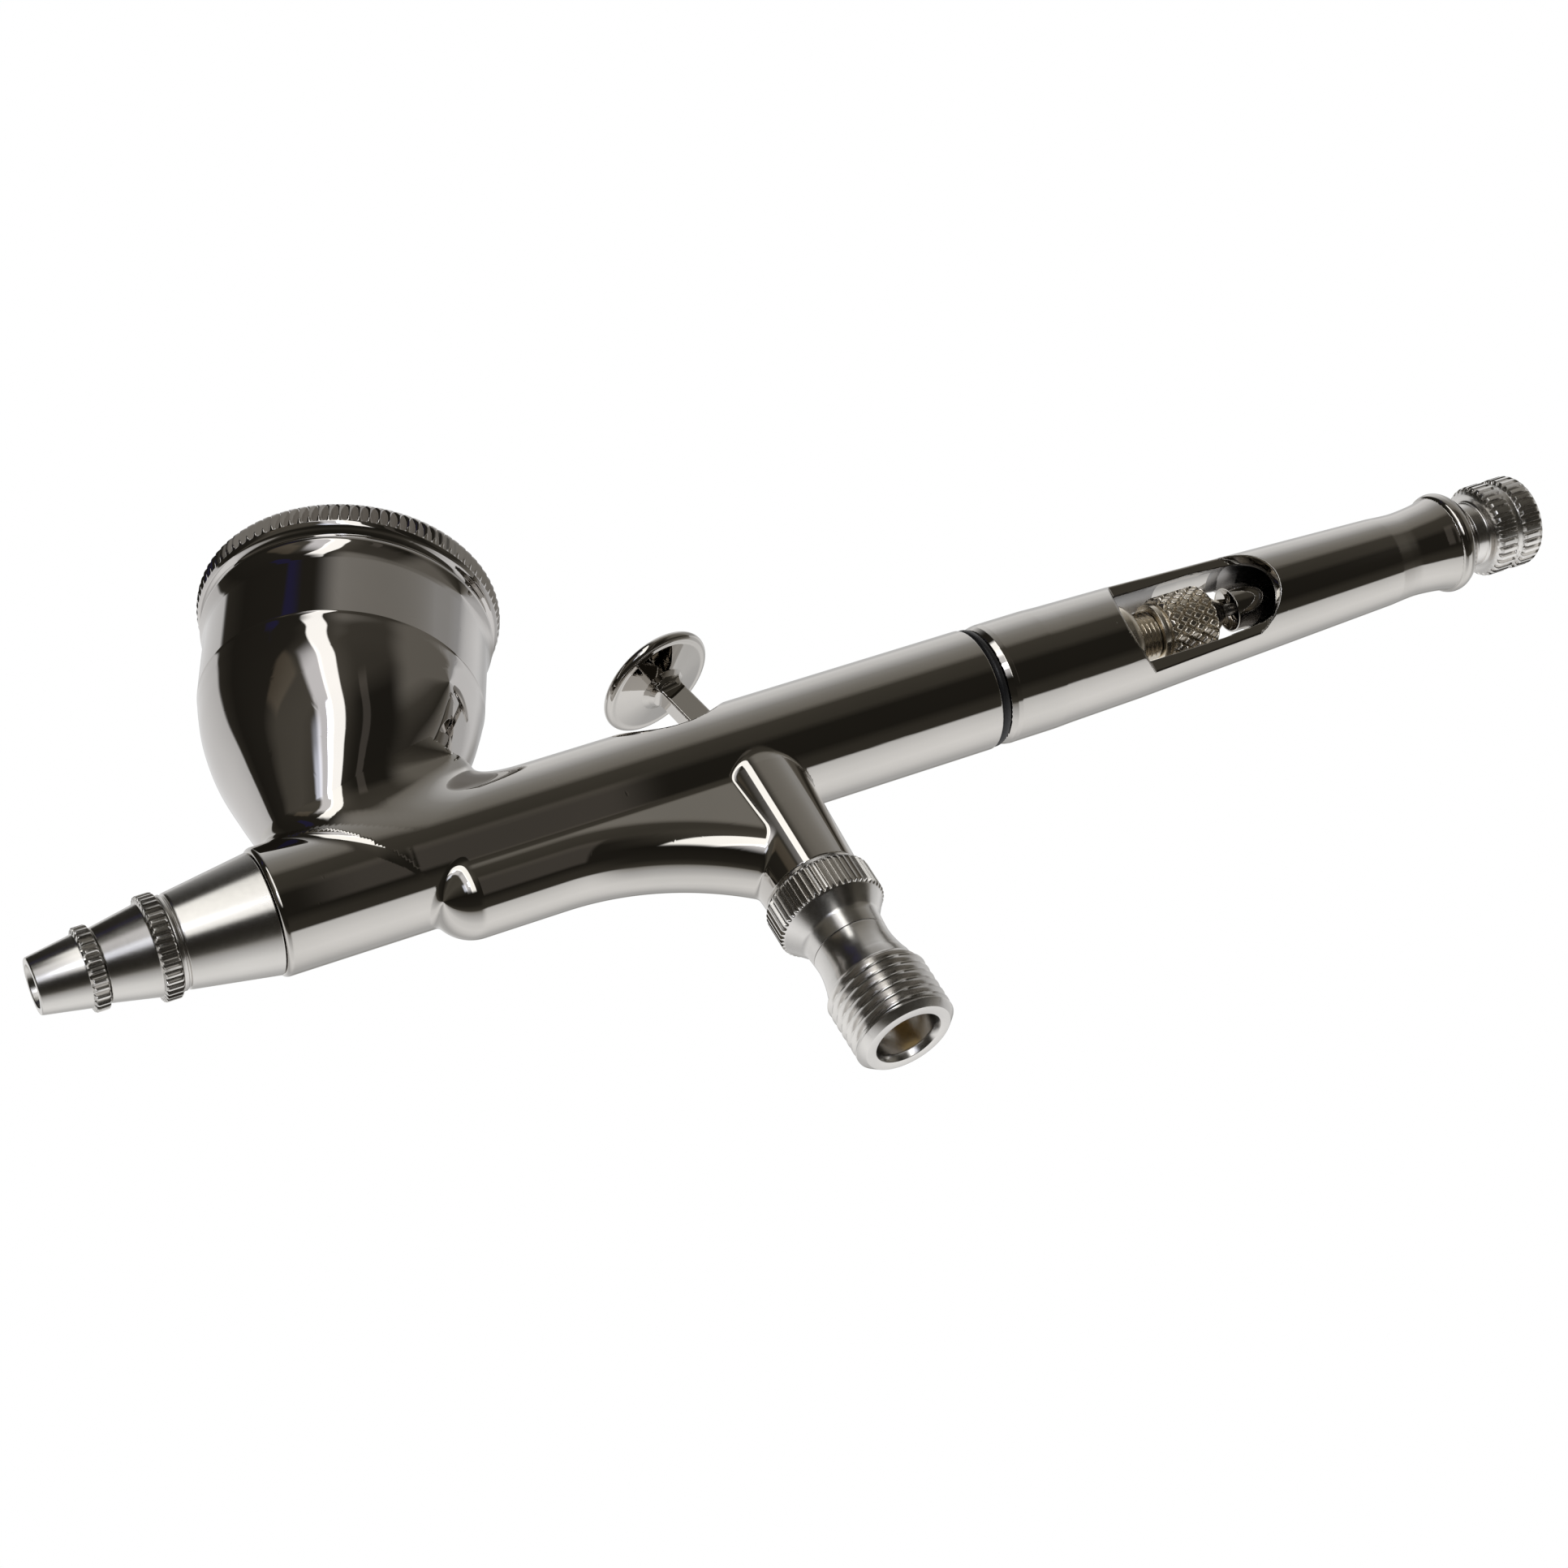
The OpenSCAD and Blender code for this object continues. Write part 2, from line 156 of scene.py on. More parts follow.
def triangle_wave(turns):
    """0 at whole numbers and 1 half way between them."""
    return 1 - np.abs(2 * (turns % 1) - 1)


def straight_teeth(count, crest, depth, low, high, flat=0.15, floor=0.15):
    """V grooves along the axis, with narrow flats at their crests and floors."""

    def cut(r, angle, t):
        wave = triangle_wave(count * angle / (2 * math.pi))
        shape = np.clip((wave - flat) / (1 - flat - floor), 0, 1)
        return np.where((t > low) & (t < high), np.minimum(r, crest - depth * shape), r)

    return cut


def diamond_teeth(count, crest, depth, low, high, lead):
    """Two sets of V grooves that wind opposite ways and leave small pyramids."""

    def cut(r, angle, t):
        turns = count * angle / (2 * math.pi)
        one = triangle_wave(turns + t / lead)
        two = triangle_wave(turns - t / lead)
        shape = np.clip((np.maximum(one, two) - 0.62) / 0.34, 0, 1)
        return np.where((t > low) & (t < high), np.minimum(r, crest - depth * shape), r)

    return cut


def thread(pitch, crest, depth, low, high, run_out=0.3):
    """A screw thread with flat crests that fades out at its ends."""

    def cut(r, angle, t):
        wave = triangle_wave(t / pitch - angle / (2 * math.pi))
        shape = np.clip(1.3 * wave - 0.12, 0, 1)
        fade = np.clip((t - low) / run_out, 0, 1) * np.clip((high - t) / run_out, 0, 1)
        groove = crest - depth * (1 - shape) * fade
        return np.where((t > low) & (t < high), np.minimum(r, groove), r)

    return cut


# ---- Meshes ----


def add_object(name, points, faces, normals=None):
    """A new object from points in millimetres. Normals, if given, are one for each point."""
    mesh = bpy.data.meshes.new(name)
    mesh.from_pydata((np.asarray(points) * MM).tolist(), [], faces)
    mesh.validate()
    mesh.shade_smooth()
    piece = bpy.data.objects.new(name, mesh)
    bpy.context.scene.collection.objects.link(piece)
    if normals is not None:
        mesh.normals_split_custom_set_from_vertices(normals.tolist())
    return piece


def turned(name, outline, axis, sides=192, radius=0.06, dense=None, cut=None):
    """A closed outline of [radius, length] points turned about an axis, with teeth cut if asked."""
    points = rounded(outline, radius)
    if dense:
        points = subdivided(points, *dense)
    r, t = np.array(points).T
    area = np.sum(r * np.roll(t, -1) - np.roll(r, -1) * t)
    if area < 0:
        r, t = r[::-1], t[::-1]
    angle = np.arange(sides) * 2 * math.pi / sides
    rows = len(r)
    radii = np.repeat(r[:, None], sides, 1)
    if cut is not None:
        radii = cut(radii, angle[None, :], np.repeat(t[:, None], sides, 1))
    origin, u, v, w = (np.array(a, float) for a in AXES[axis])
    grid = (
        origin
        + (radii * np.cos(angle))[..., None] * u
        + (radii * np.sin(angle))[..., None] * v
        + t[:, None, None] * w
    )
    poles = r < 1e-6
    vertices, index = [], np.zeros((rows, sides), int)
    for i in range(rows):
        index[i] = len(vertices) + (0 if poles[i] else np.arange(sides))
        vertices.extend(grid[i, :1] if poles[i] else grid[i])
    faces = []
    for i in range(rows):
        j = (i + 1) % rows
        if poles[i] and poles[j]:
            continue
        here, there = index[i], index[j]
        here_next, there_next = np.roll(here, -1), np.roll(there, -1)
        if poles[i]:
            corners = (here, there_next, there)
        elif poles[j]:
            corners = (here, here_next, there)
        else:
            corners = (here, here_next, there_next, there)
        faces.extend(np.stack(corners, 1).tolist())
    piece = add_object(name, vertices, faces)
    piece.data.set_sharp_from_angle(angle=math.radians(42))
    weighted = piece.modifiers.new("even_shading", "WEIGHTED_NORMAL")
    weighted.keep_sharp = True
    return piece


def steps(*spans):
    """Grid lines from (from, to, step) spans that follow each other."""
    lines = [
        np.linspace(a, b, max(2, round((b - a) / step) + 1))[:-1]
        for a, b, step in spans
    ]
    return np.concatenate([*lines, [spans[-1][1]]])


def gradient(field, p, step=0.004):
    """How the field changes along x, y and z at some points."""
    g = np.zeros_like(p)
    for axis in range(3):
        offset = np.zeros(3)
        offset[axis] = step
        g[:, axis] = (field(*(p + offset).T) - field(*(p - offset).T)) / (2 * step)
    return g


def surface_net(name, field, xs, ys, zs):
    """A smooth mesh of the surface where the field is zero, with the solid where it is negative."""
    grid = np.meshgrid(xs, ys, zs, indexing="ij")
    value = field(*grid)
    inside = value < 0
    corners = [(a, b, c) for a in (0, 1) for b in (0, 1) for c in (0, 1)]
    shape = [n - 1 for n in value.shape]
    count = np.zeros(shape, np.int8)
    for a, b, c in corners:
        count += inside[a : a + shape[0], b : b + shape[1], c : c + shape[2]]
    active = (count > 0) & (count < 8)
    cell = np.full(shape, -1)
    cell[active] = np.arange(active.sum())
    i, j, k = np.nonzero(active)
    total, crossings = np.zeros((len(i), 3)), np.zeros(len(i))
    for one in corners:
        for axis in range(3):
            if one[axis]:
                continue
            two = tuple(o + (n == axis) for n, o in enumerate(one))
            value_one = value[i + one[0], j + one[1], k + one[2]]
            value_two = value[i + two[0], j + two[1], k + two[2]]
            crossed = (value_one < 0) != (value_two < 0)
            gap = np.where(crossed, value_one - value_two, 1)
            share = np.where(crossed, value_one / gap, 0)[:, None]
            p = np.stack([xs[i + one[0]], ys[j + one[1]], zs[k + one[2]]], 1)
            q = np.stack([xs[i + two[0]], ys[j + two[1]], zs[k + two[2]]], 1)
            total += np.where(crossed[:, None], p + share * (q - p), 0)
            crossings += crossed
    points = total / crossings[:, None]
    for _ in range(4):
        g = gradient(field, points)
        away = field(*points.T) / np.maximum((g * g).sum(1), 0.05)
        points -= np.clip(away, -0.06, 0.06)[:, None] * g
    faces = []
    for axis in range(3):
        low = np.moveaxis(inside, axis, 0)[:-1]
        high = np.moveaxis(inside, axis, 0)[1:]
        around = np.moveaxis(cell, axis, 0)
        flip = axis == 1
        n, a, b = np.nonzero(low != high)
        keep = (a > 0) & (b > 0) & (a < around.shape[1]) & (b < around.shape[2])
        n, a, b = n[keep], a[keep], b[keep]
        quad = np.stack(
            [around[n, a - 1, b - 1], around[n, a, b - 1], around[n, a, b], around[n, a - 1, b]],
            1,
        )
        outward = low[n, a, b] != flip
        quad[~outward] = quad[~outward][:, ::-1]
        faces.extend(quad.tolist())
    g = gradient(field, points)
    normals = g / np.linalg.norm(g, axis=1, keepdims=True)
    return add_object(name, points, faces, normals)


# ---- Solid shapes as fields of signed distance ----


def join(a, b, k):
    """Union with a fillet about k wide."""
    h = np.maximum(k - np.abs(a - b), 0) / k
    return np.minimum(a, b) - h * h * k / 4


def common(a, b, k):
    """Intersection with an edge rounded about k wide."""
    return -join(-a, -b, k)


def cut_away(a, b, k):
    """a without b, with an edge rounded about k wide."""
    return -join(-a, b, k)


def curve_value(x, points):
    """Height at x of the line through sorted (x, height) points."""
    xs, heights = zip(*points)
    return np.interp(x, xs, heights)


# ---- Barrel ----

CUP_SIDE = [
    *spline(
        [
            (5.2, 3), (5.75, 4.4), (6.7, 6), (9.05, 10), (11.2, 14), (12.55, 17.7), (13.14, 20.5),
            (13.35, 22),
        ]
    ),
    (13.4, 22.15), (13.42, 25),
]
CUP_SIDE_BY_HEIGHT = [(h, r) for r, h in CUP_SIDE]
CUP_INSIDE = [(r - 0.8, h + 0.25) for r, h in reversed(CUP_SIDE[17:])]
CUP_SIDE_SLOPE = 0.87  # turns a radial distance into one square to the cup's side
CUP_WALL_IN_BARREL = 0.4
# Radius of each bore by its place along the barrel or the valve
NEEDLE_BORE = [
    (-43.01, 4.62), (-43, 1.6), (-12.01, 1.6), (-12, 1.9), (-2.6, 1.9), (-2.59, 0.2),
    (2.6, 0.2), (2.61, 2.6), (9.5, 2.6), (9.51, 4.3), (19.4, 4.3), (19.41, 4.9),
]
VALVE_BORE = [(24, 3.6), (24.01, 2.42), (25.25, 2.42), (25.26, 1.2), (FOOT_Z, 1.2)]


def cup_place(x, y, z):
    """Distance from the cup's axis, and height along it."""
    dx, dz = x - CUP_X, z - AXIS_Z
    along = dx * math.sin(CUP_LEAN) + dz * math.cos(CUP_LEAN)
    across = dx * math.cos(CUP_LEAN) - dz * math.sin(CUP_LEAN)
    return np.hypot(across, y), along


def fairing_field(x, y, z):
    """Housing of the air duct: everything near a sheet that ends at the duct's centre line."""
    nose_x, bend_x, drop, bend_r, half_width = -29.1, -21.0, 4.8, 32.2, 4.2
    depth = AXIS_Z - drop - z
    ahead = np.maximum(nose_x - x, 0)
    behind = np.maximum(x, 0)
    below = np.maximum(depth, 0)
    arc_x = np.minimum(x, 0) - bend_x
    arc_z = z - (AXIS_Z - drop - bend_r)
    below_arc = np.maximum(bend_r - np.hypot(arc_x, arc_z), 0)
    away = np.where(x < bend_x, np.hypot(ahead, below), np.hypot(behind, below_arc))
    return np.maximum(np.hypot(away, y) - half_width, z - AXIS_Z)


def cup_root_field(x, y, z):
    """Foot of the cup where it grows out of the barrel, and the hollow in it."""
    rho, along = cup_place(x, y, z)
    beyond = (rho - curve_value(along, CUP_SIDE_BY_HEIGHT)) * CUP_SIDE_SLOPE
    foot = np.maximum(beyond + 0.003, np.maximum(along - 13.5, 3.2 - along))
    hollow = np.maximum(beyond + CUP_WALL_IN_BARREL, 6.4 - along)
    return foot, hollow


def lever_room_field(x, y, z):
    """Slot for the lever, with room below it for its foot and for the auxiliary lever."""
    h = z - AXIS_Z
    beside = np.abs(y) - 1.7
    slot = np.maximum(beside, np.abs(x - 1.45) - 4.05)
    slot = np.maximum(slot, -2.8 - h)
    foot_room = np.maximum(np.abs(x - 0.4) - 1.9, np.maximum(beside, -7.6 - h))
    rocker_room = np.maximum(np.abs(x - 2.4) - 1.3, np.maximum(beside, -5.5 - h))
    room = np.maximum(np.minimum(foot_room, rocker_room), h)
    return np.minimum(slot, room)


def barrel_field(x, y, z):
    """Tube, fairing, valve stem and cup root in one casting, with the bores."""
    h = z - AXIS_Z
    rho = np.hypot(y, h)
    valve_rho = np.hypot(x, y)
    tube = common(common(rho - BARREL_R, BARREL_FRONT_X - x, 0.6), x - BARREL_REAR_X, 0.2)
    stem_r = curve_value(z, [(18.2, 4.7), (25, 5.0), (30, 5.2)])
    stem = common(valve_rho - stem_r, 18.25 - z, 0.12)
    stem = np.maximum(stem, h)
    solid = join(tube, fairing_field(x, y, z), 0.55)
    solid = join(solid, stem, 0.25)
    cup_foot, cup_hollow = cup_root_field(x, y, z)
    blend = curve_value(x, [(-46, 1.2), (-42, 2.0), (-34, 4.2), (-24, 5.5)])
    solid = join(solid, cup_foot, blend)
    solid = np.maximum(solid, -cup_hollow)
    saddle = np.hypot(x + 5, h - 10.2) - 7.7
    solid = cut_away(solid, saddle, 0.22)
    solid = cut_away(solid, lever_room_field(x, y, z), 0.18)
    solid = cut_away(solid, rho - curve_value(x, NEEDLE_BORE), 0.12)
    valve_bore = np.maximum(valve_rho - curve_value(z, VALVE_BORE), z - FOOT_Z)
    solid = cut_away(solid, valve_bore, 0.12)
    cup_rho, cup_h = cup_place(x, y, z)
    paint_bore = np.maximum(cup_rho - 2.05, np.maximum(-cup_h, cup_h - 12))
    return np.maximum(solid, -paint_bore)


# ---- Handle ----

HANDLE_SIDE = [
    (22, 4.88), (26.88, 4.88), (26.92, 5.7), (27.5, 5.92), (28, 6), (33, 6), (35, 5.92),
    (43, 5.75), (50, 5.47), (58, 5.2), (66, 4.9),
]
HANDLE_TAIL = spline(
    [(4.6, 74), (4.46, 75.8), (4.41, 77), (4.47, 78.4), (4.63, 80), (4.86, 81.3)]
)
HANDLE_BEAD = spline(
    [
        (4.86, 81.34), (5.08, 81.5), (5.22, 81.9), (5.2, 82.3), (5.05, 82.7), (4.7, 83.2),
        (4.2, 83.7), (3.75, HANDLE_REAR_X),
    ]
)
HANDLE_OUTSIDE = HANDLE_SIDE + [(x, r) for r, x in HANDLE_TAIL + HANDLE_BEAD]
HANDLE_INSIDE = [
    (22, 4.3), (27.6, 4.3), (28, 4.5), (52, 4.5), (57, 4.2), (59, 3.7), (62, 3.3), (78.6, 3.3),
    (79, 2.7),
    (84.2, 2.7),
]


def handle_field(x, y, z):
    """Hollow handle with a window through both sides."""
    h = z - AXIS_Z
    rho = np.hypot(y, h)
    outside = rho - curve_value(x, HANDLE_OUTSIDE)
    wall = common(outside, curve_value(x, HANDLE_INSIDE) - rho, 0.1)
    wall = common(wall, np.maximum(HANDLE_FRONT_X - x, x - HANDLE_REAR_X), 0.2)
    out = np.abs(y * math.cos(WINDOW_TURN) + h * math.sin(WINDOW_TURN))
    side = h * math.cos(WINDOW_TURN) - y * math.sin(WINDOW_TURN)
    front = WINDOW_FRONT_X - WINDOW_SLANT * (out - WINDOW_DEPTH)
    past = x - WINDOW_END_X
    rear = np.where(past > 0, np.hypot(past, side) - WINDOW_END_R, np.maximum(x - 58, -1))
    window = np.maximum(np.maximum(WINDOW_DEPTH - out, 0.83 * (front - x)), rear)
    return cut_away(wall, window, 0.16)


# ---- Main lever ----

PAD_TOP = [(0, 1.3), (1, 1.285), (2.2, 1.21), (3.3, 1.06), (4.2, 0.89), (5.3, 0.58), (6, 0.3)]


def lever_field(x, y, z):
    """Finger pad, stem with a fork for the needle, and round foot."""
    h = z - AXIS_Z
    front = curve_value(
        h, [(-1.4, -0.8), (-0.7, -1.2), (1.2, -1.72), (4.5, -1.85), (6.3, -2.2), (11.6, -3.28)]
    )
    back = curve_value(h, [(-1.6, 0.8), (-1, 1.0), (4.5, 0.75), (6.3, 0.4), (11.6, -0.75)])
    half_width = curve_value(h, [(4.2, 1.5), (4.6, 1.0)])
    stem = common(np.maximum(x - back, front - x), np.abs(y) - half_width, 0.28)
    stem = np.maximum(stem, np.maximum(-FOOT_DROP - h, h - 12))
    foot = common(np.hypot(x, h + FOOT_DROP) - 1, np.abs(y) - 1.5, 0.2)
    stem = join(stem, foot, 0.2)
    fork = np.maximum(np.abs(y) - 0.7, np.maximum(-1.4 - h, h - 3.4))
    stem = cut_away(stem, fork, 0.12)
    dx, dh = x + 2.5, h - 12.4
    along = -dx * math.sin(PAD_LEAN) + dh * math.cos(PAD_LEAN)
    across = dx * math.cos(PAD_LEAN) + dh * math.sin(PAD_LEAN)
    rho = np.hypot(across, y)
    top = curve_value(rho, PAD_TOP)
    bottom = curve_value(rho, [(1.5, -1.86), (1.9, -1.5), (2.4, -1.2), (5.3, -0.5), (6, -0.45)])
    disc = common(common(along - top, bottom - along, 0.2), rho - 5.6, 0.3)
    rim = np.hypot(rho - 5.43, along + 0.03) - 0.51
    pad = join(disc, rim, 0.22)
    return join(stem, pad, 0.6)


# ---- Materials ----

RANGE_INPUTS = ("Value", "From Min", "From Max", "To Min", "To Max")


class Nodes:
    """Builds one material's node tree."""

    def __init__(self, name):
        self.material = bpy.data.materials.new(name)
        self.material.use_nodes = True
        self.tree = self.material.node_tree
        self.shader = self.tree.nodes["Principled BSDF"]
        self.place = self.add("ShaderNodeTexCoord").outputs["Object"]

    def add(self, kind, inputs=(), **settings):
        node = self.tree.nodes.new(kind)
        for key, value in settings.items():
            setattr(node, key, value)
        for key, value in dict(inputs).items():
            if isinstance(value, bpy.types.NodeSocket):
                self.tree.links.new(value, node.inputs[key])
            else:
                node.inputs[key].default_value = value
        return node

    def noise(self, scale, detail=3.0, stretch=None, roughness=0.5):
        """Noise with features about 1 / scale metres across, longer along an axis if stretched."""
        place = self.place
        if stretch:
            place = self.add("ShaderNodeMapping", {"Vector": place, "Scale": stretch}).outputs[0]
        inputs = {"Vector": place, "Scale": scale, "Detail": detail, "Roughness": roughness}
        return self.add("ShaderNodeTexNoise", inputs).outputs["Fac"]

    def ranged(self, value, low, high, to_low, to_high):
        """Maps a value from one range to another, and clamps it."""
        inputs = dict(zip(RANGE_INPUTS, (value, low, high, to_low, to_high)))
        return self.add("ShaderNodeMapRange", inputs).outputs[0]

    def mix(self, share, one, two):
        node = self.add("ShaderNodeMix", data_type="RGBA")
        for socket, value in ((node.inputs[0], share), (node.inputs[6], one), (node.inputs[7], two)):
            if isinstance(value, bpy.types.NodeSocket):
                self.tree.links.new(value, socket)
            else:
                socket.default_value = value
        return node.outputs[2]

    def calc(self, operation, one, two):
        return self.add("ShaderNodeMath", {0: one, 1: two}, operation=operation).outputs[0]

    def bump(self, height, distance, strength=1.0):
        inputs = {"Height": height, "Distance": distance, "Strength": strength}
        return self.add("ShaderNodeBump", inputs).outputs[0]

    def surface(self, **inputs):
        """Sets or links the shader's sockets. Underscores stand for spaces."""
        for key, value in inputs.items():
            socket = self.shader.inputs[key.replace("_", " ")]
            if isinstance(value, bpy.types.NodeSocket):
                self.tree.links.new(value, socket)
            else:
                socket.default_value = value
        return self.material


def metal(name, colour, other, rough, haze, scratch, dust=0.6):
    """Plated or machined metal with colour drift, hazy patches, fine scratches and dust."""
    n = Nodes(name)
    drift = n.ranged(n.noise(70, 4), 0.35, 0.65, 0, 1)
    plate = n.mix(drift, (*colour, 1), (*other, 1))
    patches = n.ranged(n.noise(160, 5, roughness=0.6), 0.5, 0.75, 0, 1)
    lines = n.noise(900, 2, stretch=(0.12, 1, 1))
    crossing = n.noise(700, 2, stretch=(1, 1, 0.1))
    scratches = n.ranged(n.calc("MAXIMUM", lines, crossing), 0.66, 0.74, 0, 1)
    cells = n.add("ShaderNodeTexVoronoi", {"Vector": n.place, "Scale": 420.0, "Randomness": 1.0})
    speck = n.ranged(cells.outputs["Distance"], 0.02, 0.035, 1, 0)
    chance = n.ranged(n.noise(95, 1), 0.56, 0.6, 0, dust)
    speck = n.calc("MULTIPLY", speck, chance)
    base = n.mix(speck, plate, (0.8, 0.78, 0.74, 1))
    fine = n.ranged(n.noise(2600, 2), 0.3, 0.7, rough, rough + haze * 0.4)
    roughness = n.calc("ADD", fine, n.calc("MULTIPLY", patches, haze))
    roughness = n.calc("ADD", roughness, n.calc("MULTIPLY", speck, 0.5))
    relief = n.calc("ADD", n.calc("MULTIPLY", scratches, -scratch), n.calc("MULTIPLY", speck, 0.6))
    return n.surface(
        Base_Color=base,
        Metallic=1.0,
        Roughness=roughness,
        Normal=n.bump(relief, 0.00001, 0.5),
    )


def soft_part(name, colour, other, rough, grain):
    """Rubber or plastic with a faint moulded grain and paler worn spots."""
    n = Nodes(name)
    worn = n.ranged(n.noise(300, 5, roughness=0.6), 0.45, 0.7, 0, 1)
    base = n.mix(worn, (*colour, 1), (*other, 1))
    roughness = n.ranged(n.noise(1500, 3), 0.3, 0.7, rough - 0.08, rough + 0.08)
    return n.surface(
        Base_Color=base, Roughness=roughness, Normal=n.bump(n.noise(5200, 3), grain, 0.4)
    )


CHROME = metal("chrome", (0.645, 0.62, 0.59), (0.6, 0.58, 0.55), 0.014, 0.03, 0.25)
CHROME_CUP = metal("chrome_cup", (0.63, 0.605, 0.585), (0.585, 0.565, 0.55), 0.014, 0.035, 0.35)
CHROME_HEAD = metal("chrome_head", (0.74, 0.72, 0.69), (0.68, 0.66, 0.63), 0.19, 0.06, 0.3)
# Toothed chrome: rougher than the plain chrome, with its colour set lighter as painted brightness for
# the light that the teeth catch
CHROME_KNURL_PAINTED_BRIGHT = metal("chrome_knurl_painted_bright", (0.82, 0.8, 0.77), (0.74, 0.72, 0.7), 0.2, 0.08, 0.15)
NICKEL = metal("nickel", (0.95, 0.88, 0.76), (0.85, 0.78, 0.67), 0.22, 0.08, 0.3)
STEEL = metal("steel", (0.6, 0.59, 0.57), (0.52, 0.51, 0.5), 0.2, 0.1, 0.3)
BRASS = metal("brass", (0.98, 0.74, 0.34), (0.88, 0.64, 0.27), 0.42, 0.12, 0.3)
RUBBER = soft_part("black_rubber", (0.012, 0.012, 0.014), (0.03, 0.03, 0.033), 0.42, 0.000012)
BORE = metal("bored_steel", (0.4, 0.39, 0.38), (0.3, 0.29, 0.285), 0.2, 0.1, 0.4)
PLASTIC = soft_part("white_plastic", (0.75, 0.74, 0.71), (0.66, 0.65, 0.61), 0.45, 0.00001)


# ---- Placing the pieces ----

LID_TEETH = 96
NEEDLE_CAP_TEETH = 26
NOZZLE_CAP_TEETH = 40
VALVE_RING_TEETH = 52
KNOB_TEETH = 34
CHUCK_DIAMONDS = 18
HOSE_PITCH = 0.907


def place(piece, body, slot, nodes, material):
    """Gives a piece its material and its body, and hides the CAD nodes that it stands for. The slot
    argument is not used.
    """
    piece.data.materials.append(material)
    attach(piece, body)
    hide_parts(*nodes)
    return piece


def line_bore(piece, material, wall):
    """Gives the faces deeper than the wall, towards the barrel's axis, a second material."""
    piece.data.materials.append(material)
    for face in piece.data.polygons:
        x, y, z = face.center / MM
        if math.hypot(y, z - AXIS_Z) < curve_value(x, HANDLE_OUTSIDE) - wall:
            face.material_index = 1


place(
    surface_net(
        "Barrel",
        barrel_field,
        steps(
            (-47.3, -46.2, 0.1), (-46.2, -13, 0.25), (-13, 7, 0.2), (7, 25.2, 0.25),
            (25.2, 26.1, 0.1),
        ),
        steps((-11.6, -6.2, 0.25), (-6.2, 6.2, 0.2), (6.2, 11.6, 0.25)),
        steps((18, 19, 0.12), (19, 28, 0.22), (28, 41, 0.2), (41, 51.5, 0.25)),
    ),
    "root", "chrome", ["body"], CHROME,
)
handle = place(
    surface_net(
        "Handle",
        handle_field,
        steps(
            (22, 26.6, 0.3), (26.6, 28.2, 0.1), (28.2, 41.4, 0.3), (41.4, 60, 0.14),
            (60, 80, 0.28), (80, 84.4, 0.1),
        ),
        steps((-6.2, 6.2, 0.155)),
        steps((AXIS_Z - 6.2, AXIS_Z + 6.2, 0.155)),
    ),
    "root", "chrome", ["handle"], CHROME,
)
line_bore(handle, BORE, 1.0)
place(
    surface_net(
        "MainLever",
        lever_field,
        steps((-9, 4.2, 0.1)),
        steps((-6.2, 6.2, 0.1)),
        steps((AXIS_Z - 5.5, AXIS_Z + 15.2, 0.1)),
    ),
    "trigger", "chrome", ["main_lever"], CHROME,
)

place(
    turned(
        "PaintCup",
        [
            *CUP_SIDE, *spline([(13.42, 28.8), (13.5, 29.6), (13.7, 30.3), (13.9, 30.8)], 4),
            (13.9, 31.1, 0.15), (13.7, 31.38, 0.1), (12.95, 31.38, 0.15), *CUP_INSIDE,
            (5.2, 7.0, 0.6), (2, 6.3, 0.5), (2, 3.1),
        ],
        "cup", sides=256,
    ),
    "root", "chrome", ["paint_cup"], CHROME_CUP,
)
place(
    turned(
        "CupLid",
        [
            (0.7, 34.4), (11.4, 34.4, 0.6), (11.4, 29.4), (12.2, 29.4, 0.15), (12.5, 29.7),
            (12.5, 31.55, 0.1), (13.3, 31.55, 0.1),
            *spline([(13.35, 31.9), (13.6, 32.15), (14.0, 32.4), (14.25, 32.8)], 4),
            (14.3, 33.0, 0.05), (14.45, 33.4, 0.2), (14.45, 34.6, 0.3), (14.05, 35.2, 0.2),
            *spline(
                [(13.2, 35.42), (11, 35.9), (8.5, 36.28), (6, 36.53), (3, 36.72), (0.85, 36.78)], 5
            ),
            (0.7, 36.6),
        ],
        "cup", sides=LID_TEETH * 10, radius=0.05, dense=(33.0, 35.4, 0.2),
        cut=straight_teeth(LID_TEETH, 14.45, 0.5, 32.95, 35.25, flat=0.05, floor=0.05),
    ),
    "lid", "chrome", ["cup_lid"], CHROME_CUP,
)
place(
    turned(
        "NeedleCap",
        [
            (2.0, -67.96, 0.1), (2.6, -67.96, 0.15), (3.32, -63.75, 0.05), (3.35, -63.6, 0.02),
            (3.85, -63.4, 0.1), (3.85, -62.25, 0.1), (3.5, -62.1), (2.52, -62.1), (2.52, -64.6),
            (1.7, -64.6), (1.7, -66, 0.1),
        ],
        "barrel", sides=NEEDLE_CAP_TEETH * 10, dense=(-63.6, -62.1, 0.3),
        cut=straight_teeth(NEEDLE_CAP_TEETH, 3.85, 0.45, -63.55, -62.0, flat=0.3, floor=0.2),
    ),
    "root", "chrome", ["needle_cap"], CHROME_HEAD,
)
place(
    turned(
        "NozzleCap",
        [
            (0.8, -64.5), (2.3, -64.5), (2.5, -64.3), (2.5, -61.98), (3.42, -61.98, 0.12),
            (4.25, -57.75, 0.05), (4.3, -57.62, 0.03), (4.85, -57.45, 0.12), (4.85, -56.05, 0.12),
            (4.6, -55.9), (3.62, -55.9), (3.62, -59.4), (2.4, -60), (0.9, -64),
        ],
        "barrel", sides=NOZZLE_CAP_TEETH * 8, dense=(-57.6, -55.9, 0.3),
        cut=straight_teeth(NOZZLE_CAP_TEETH, 4.85, 0.38, -57.65, -55.85, flat=0.3, floor=0.2),
    ),
    "root", "chrome", ["nozzle_cap"], CHROME_HEAD,
)
